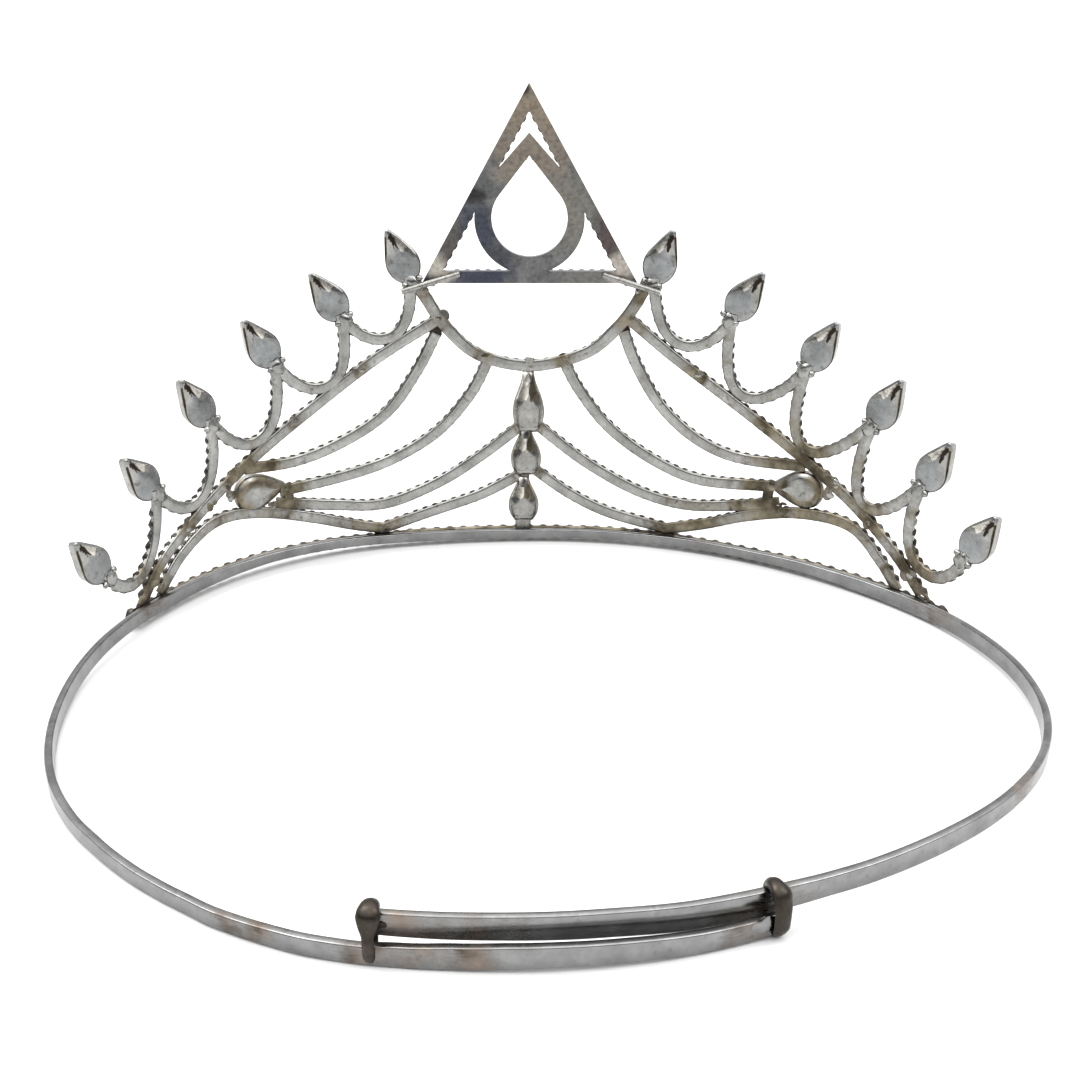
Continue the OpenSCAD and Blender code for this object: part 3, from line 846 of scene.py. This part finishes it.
def apart(p, end, r):
    """How far a place on one arm lies from the other arm's last arc, which has radius r."""
    c = (end[0] - r * sind(end[2]), end[1] - r * cosd(end[2]))
    return abs(math.hypot(p[0] + c[0], p[1] - c[1]) - r)


def make_loop(name, side, back, y0, y1, z0, z1, limb, bead, square):
    """Tall oval eyelet, set back from an arm's end.

    Its opening runs from y0 to y1, from the arm's outer face, and from z0 to z1. limb and bead
    are its widths at the sides and the top, and a smaller square makes its foot squarer.
    """
    total = END_R if side > 0 else END_L
    o, t, n, up, _ = band_frame(side * (total - back))
    o.z = 0
    mesh = Mesh()
    rings = []
    yc, zc = (y0 + y1) / 2, (z0 + z1) / 2
    ha, hb = (y1 - y0) / 2 + 0.3, (z1 - z0) / 2 + 0.3
    steps, sides = 72, 16
    for k in range(steps):
        turn = TAU * k / steps
        c, s = math.cos(turn), math.sin(turn)
        py = ha * math.copysign(abs(c) ** (square if s < 0 else 0.8), c)
        pz = hb * math.copysign(abs(s) ** 0.85, s)
        rad = Vector((c * hb, s * ha)).normalized()
        top, foot = smooth(s, 0.0, 0.8), smooth(-s, 0.6, 0.99)
        w = (limb * (1 - 0.3 * foot) + (bead - limb) * top) * (1 - 0.4 * smooth(-c, -0.7, 0.9))
        thick = 0.66 + 0.8 * top * top
        ring = []
        for j in range(sides):
            q = TAU * j / sides
            u, v = w / 2 * math.cos(q), thick / 2 * math.sin(q)
            g = 0.05 * noise.noise(Vector((turn * 2, u, v)))
            ring.append(o + t * (u * (1 + g)) + n * (yc + py + rad.x * (v + g))
                        + up * (zc + pz + rad.y * (v + g)))
        rings.append(ring)
    mesh.loft(rings, closed=True, stain_and_shade=lambda v: 0.5 + 0.4 * noise.noise(Vector(v) * 0.6))
    # Solder between the loop and its own strip
    low, h = between(BAND_RUN, side * total)
    thick = between(BAND_THICK, side * total)[0]
    lump(mesh, o - n * (thick / 2) + up * (low + h / 2) - t * 1.1, t, up, n, 1.2, 0.9, 0.5,
         3.0 + side, 1.0)
    return mesh.build(name, loop_metal)


band_piece = make_band()
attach(band_piece, "root")
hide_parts("band")

end_r, end_l = walk(RIGHT_ALL, END_R - 1), walk(LEFT_ALL, END_L - 1)
gap_l = apart(end_r, end_l, LEFT_REAR[2][0])
gap_r = apart(end_l, end_r, RIGHT_REAR[2][0])
for piece in (
        make_loop("loop_left", 1, 0.5, -1.35, gap_l + 0.2, 0.68, 7.1, 1.45, 2.9, 0.6),
        make_loop("loop_right", -1, 0.95, -gap_r - 1.4, 0.3, 0.7, 6.3, 2.3, 2.5, 0.5)):
    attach(piece, "root")

# Front frame: strips with their rows of small stones
FINS = {-1: LEFT_FINS, 1: RIGHT_FINS}
frame_mesh, row_metal, row_glass = Mesh(), Mesh(), Mesh()
# Where the cups leave no room for small stones: station, height, radius
skips = [(s, z, 4.6) for s, z, _ in LEFT_FINS + RIGHT_FINS]
skips += [(MID_S + u, z, 4.2) for u, z, _, _ in COLUMN]
skips += [(knot[0], knot[1], 5.0) for knot in KNOTS]

base_path = [(s, sum(between(BAND_RUN, s)) - 1.25 + 0.35 * smooth(abs(s), 34, 22))
             for s, _ in spline([(s, 0) for s in BASE], 10)]
strip(frame_mesh, base_path, THIN_W, 0.9)
row(row_metal, row_glass, [(s, z - 0.18) for s, z in base_path], BASE_PITCH, BASE_STONE_R,
    0.5, 1.6, skips)
strips = [(spline(pts, 8), STRIP_W) for side in (-1, 1) for pts in STRIPS[side]]
strips.append((spline(BOWL, 8), BOWL_W))
strips += [(hanging_u(FINS[side][k], FINS[side][k + 1], side, pull), THIN_W)
           for side in (-1, 1) for k, pull in enumerate(HANGS[side])]
for path, width in strips:
    strip(frame_mesh, path, width)
    row(row_metal, row_glass, path, STONE_PITCH, STONE_R, 0.3, 1.25, skips)
# Post that carries the column cups, short bridges beside the knots, foot of the lowest cup
strip(frame_mesh, [(MID_S - 0.3, 37), (MID_S - 0.8, 33), (MID_S - 1.6, 2.2)], POST_W, depth=0.7)
for bridge in ([(-49.3, 16.0), (-48.9, 13.9), (-48.7, 11.0)],
               [(44.9, 16.4), (44.6, 14.2), (44.4, 11.2)]):
    strip(frame_mesh, bridge, BRIDGE_W, 0.25, FILM + 0.03, 0.6)
strip(frame_mesh, [(MID_S - 1.7, 5.4), (MID_S - 1.8, 2.0)], FOOT_W, 0.0, -0.1, 0.6)


def flank_painted_reflections(side):
    """Tones of a finial's back, with painted reflections: a black painted reflection beside the ridge,
    a pale painted highlight inside it, a dark painted band near the edge on the outer side, bluish
    elsewhere.
    """
    black_x, bright_x = (-0.55, 0.2) if side > 0 else (-0.25, 0.5)

    def tone(x, y, share):
        inner = -x * side
        if y > 4.5:
            return -0.9
        if share < 0.04:
            return -0.3 if inner < 0 else 0.6
        if inner > bright_x and y > -0.2:
            return -1.5 if share > 0.2 and y > 0.6 else 0.3
        if y > 1.5 and black_x < inner:
            return 2.6
        if share < 0.2 and inner < 0:
            return 1.6
        return -0.45 if y < 1.2 else -0.15
    return tone


def knot_stain(x, y, share):
    """Uneven tarnish on a knot cup's back."""
    return 0.45 + 0.9 * noise.noise(Vector((x, y, share)) * 0.6)


def column_painted_light(x, y, share):
    """Painted light on a column cup: a pale painted highlight on the left plane and painted shade on
    the right plane above the flat face, brown tarnish on the face, a dark edge all round.
    """
    if share < 0.04:
        return 1.0
    if y < 0.3:
        return 0.3 if share > 0.2 else 0.8
    if x < 0.12:
        return -1.7 if share > 0.1 else 0.8
    return 1.35 if x < 1.2 else 0.7


fin_line = outline(SPADE, FIN_L - 0.2, FIN_W - 0.2)
for side in (-1, 1):
    for s, z, lean in FINS[side]:
        # Each finial's back carries painted highlights and dark painted reflections
        cup(frame_mesh, s, z, lean, fin_line, flank_painted_reflections(side))
        # Solder at its round end
        o, across, along, nrm = cup_frame(s, z, lean)
        for k in (-1, 1):
            lump(frame_mesh, o + across * (k * FIN_W * 0.22) - along * (FIN_L * 0.46) + nrm * 0.35,
                 across, along, nrm, 0.7, 0.6, 0.5, s + k, 0.25)
        lump(frame_mesh, o - along * (FIN_L * 0.5) + nrm * 0.25, across, along, nrm,
             1.3, 1.6, 0.6, s, -0.15)
for s, z, length, width, lean in KNOTS:
    cup(frame_mesh, s, z, lean, pear(length, width), knot_stain, back=-0.3, wall=1.25, inset=1.2,
        roof=1.9, swell=0.25, cool=0.3)
# Column cups, with a painted highlight and painted shade on their backs
for u, z, length, width in COLUMN:
    cup(frame_mesh, MID_S + u, z, 0, outline(BOTTLE, length, width), column_painted_light, back=-0.75,
        wall=1.3, inset=1.5, roof=2.1, cool=0.3)

# Solder at the joints: station, height, half sizes
SOLDER = [
    (-21.4, 49.6, 1.1, 1.4), (-18.6, 44.6, 1.8, 1.3), (-10.4, 37.4, 1.5, 1.0),
    (-34.0, 36.2, 1.7, 1.2), (-47.0, 28.2, 1.6, 1.2), (-59.5, 20.8, 1.8, 1.3),
    (-70.5, 13.6, 1.7, 1.4), (-79.5, 6.8, 2.0, 1.6), (-83.0, 3.4, 1.8, 1.3),
    (-49.5, 14.6, 1.6, 1.1), (-60.5, 16.4, 1.5, 1.8), (-30.5, 3.8, 2.4, 0.9),
    (-52.0, 12.4, 1.6, 1.0), (-61.5, 18.6, 1.5, 1.4), (-65.0, 15.6, 1.6, 1.3),
    (18.4, 49.4, 1.1, 1.4), (16.6, 44.4, 1.8, 1.3), (4.8, 37.0, 1.5, 1.0),
    (29.5, 35.4, 1.7, 1.2), (43.0, 27.4, 1.6, 1.2), (55.0, 20.2, 1.8, 1.3),
    (65.5, 13.6, 1.7, 1.4), (74.5, 6.6, 2.0, 1.6), (78.2, 3.2, 1.8, 1.3),
    (45.0, 15.2, 1.6, 1.1), (56.4, 17.2, 1.5, 1.8), (25.0, 3.8, 2.4, 0.9),
    (47.4, 12.8, 1.6, 1.0), (57.6, 19.2, 1.4, 1.3),
    (-4.0, 23.0, 0.9, 0.7), (-0.2, 23.4, 0.9, 0.7), (-4.3, 13.2, 0.9, 0.7),
    (-0.6, 14.2, 0.9, 0.7), (-1.8, 35.6, 1.2, 0.8)]
for k, (s, z, rx, rz) in enumerate(SOLDER):
    solder(frame_mesh, s, z, rx, rz, k * 1.7 + 2.3)

frame_piece = frame_mesh.build("front_frame_metal", frame_metal, 50)
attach(frame_piece, "root")
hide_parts("front_frame")


def leg_row(side):
    """Line of the stone row along a sloping leg of the peak plate."""
    slope = PEAK_HALF / (PEAK_TOP - BAR_TOP)
    inset = LEG_W / 2 * math.hypot(1, slope) + 0.33
    return [(side * (slope * (PEAK_TOP - z) - inset), z)
            for z in (PEAK_TOP - LEG_W * 1.25 - 1.2, BAR_TOP + 1.2)]


def drop_row():
    """Line of the stone row round the plate's open loop, from its top and back to it."""
    r, rise = LOOP_W / 2 - 1.5, LOOP_H - LOOP_W / 2 - 2.6
    mid = BAR_TOP + LOOP_W / 2 - 0.5
    touch = math.degrees(math.asin(r / rise))
    steps = 40
    path = [(0, mid + rise)]
    for k in range(steps + 1):
        a = touch - (180 + 2 * touch) * k / steps
        path.append((r * cosd(a), mid + r * sind(a)))
    path.append((0, mid + rise))
    return path


# Peak plate: rows of small stones on its front
bar_row = [(-BAR_ROW_HALF, BAR_MID), (BAR_ROW_HALF, BAR_MID)]
done = []
for path in (leg_row(-1), leg_row(1), bar_row, drop_row()):
    for x, z in even(path, STONE_PITCH):
        if any(math.hypot(x - p[0], z - p[1]) < PEAK_STONE_GAP for p in done):
            continue
        done.append((x, z))
        setting(row_metal, row_glass, Vector((PLATE_MID + x, PLATE_Y + PLATE_T, z)),
                Vector((1, 0, 0)), Vector((0, 0, 1)), Vector((0, 1, 0)), PEAK_STONE_R, -0.05, 0.85)

row_piece = row_metal.build("stone_row_settings", row_dark, 50)
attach(row_piece, "root")
row_stones = row_glass.build("stone_row_stones", glass, 15)
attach(row_stones, "root")

for name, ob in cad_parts.items():
    if name.startswith("stone_") or name == "peak_plate":
        ob.data.materials.clear()
        ob.data.materials.append(plate_metal if name == "peak_plate" else glass)


def greys(tree, value, stops):
    """Ramp of greys over a value, given as the place and brightness of each stop."""
    return ramp(tree, value, [(at, (v, v, v)) for at, v in stops])


def floor_inputs(tree):
    """Pale floor, hardly clouded."""
    cloud = clouds(tree, coordinates(tree, "Generated"), 40.0)
    return ("Base Color", greys(tree, cloud, [(0.3, 0.64), (0.7, 0.66)])), ("Roughness", 0.6)


# Floor
me = bpy.data.meshes.new("floor")
me.from_pydata([(-9, -9, 0), (9, -9, 0), (9, 9, 0), (-9, 9, 0)], [], [(0, 1, 2, 3)])
me.materials.append(new_material("pale floor", floor_inputs))
floor = bpy.data.objects.new("floor", me)
bpy.context.scene.collection.objects.link(floor)

# Camera
cam_data = bpy.data.cameras.new("camera")
cam_data.sensor_width = SENSOR
cam_data.lens = SENSOR * FOCAL_PX / PHOTO_PX
cam_data.clip_start = 0.01
cam = bpy.data.objects.new("camera", cam_data)
cam.location = [v * MM for v in CAMERA_AT]
cam.rotation_euler = (math.radians(90 - CAMERA_PITCH), 0, 0)
bpy.context.scene.collection.objects.link(cam)
bpy.context.scene.camera = cam

# Soft studio light: one run of greys by height on the camera's side, another beyond the crown
world = bpy.data.worlds.new("studio")
world.use_nodes = True
bpy.context.scene.world = world
sky = world.node_tree
sky.nodes.clear()
way = axes(sky, coordinates(sky, "Generated"))
near = greys(sky, way["Z"], [(0.0, 0.25), (0.12, 0.10), (0.36, 0.14), (0.52, 1.5), (0.74, 1.7),
                             (0.86, 2.6)])
far = greys(sky, way["Z"], [(0.0, 1.2), (0.25, 1.3), (0.45, 0.35), (0.6, 1.3), (0.86, 2.6)])
light = mixed(sky, spread(sky, way["Y"], -0.3, 0.2), near, far)
background = node(sky, "ShaderNodeBackground", (("Color", light), ("Strength", 1.25)))
node(sky, "ShaderNodeOutputWorld", ((0, background.outputs[0]),))


def area(name, place_at, aim, size, power):
    """Rectangular lamp that points at a place; all in metres."""
    data = bpy.data.lights.new(name, "AREA")
    data.shape = "RECTANGLE"
    data.size, data.size_y = size
    data.energy = power
    ob = bpy.data.objects.new(name, data)
    ob.location = place_at
    ob.rotation_euler = (Vector(aim) - Vector(place_at)).to_track_quat("-Z", "Y").to_euler()
    bpy.context.scene.collection.objects.link(ob)


area("key", (-0.5, 0.1, 0.9), (0, 0, 0.03), (0.6, 0.6), 5.5)
area("fill", (0.7, -0.2, 0.8), (0, 0, 0.03), (0.5, 0.7), 3.4)
bpy.context.scene.view_settings.view_transform = "Standard"
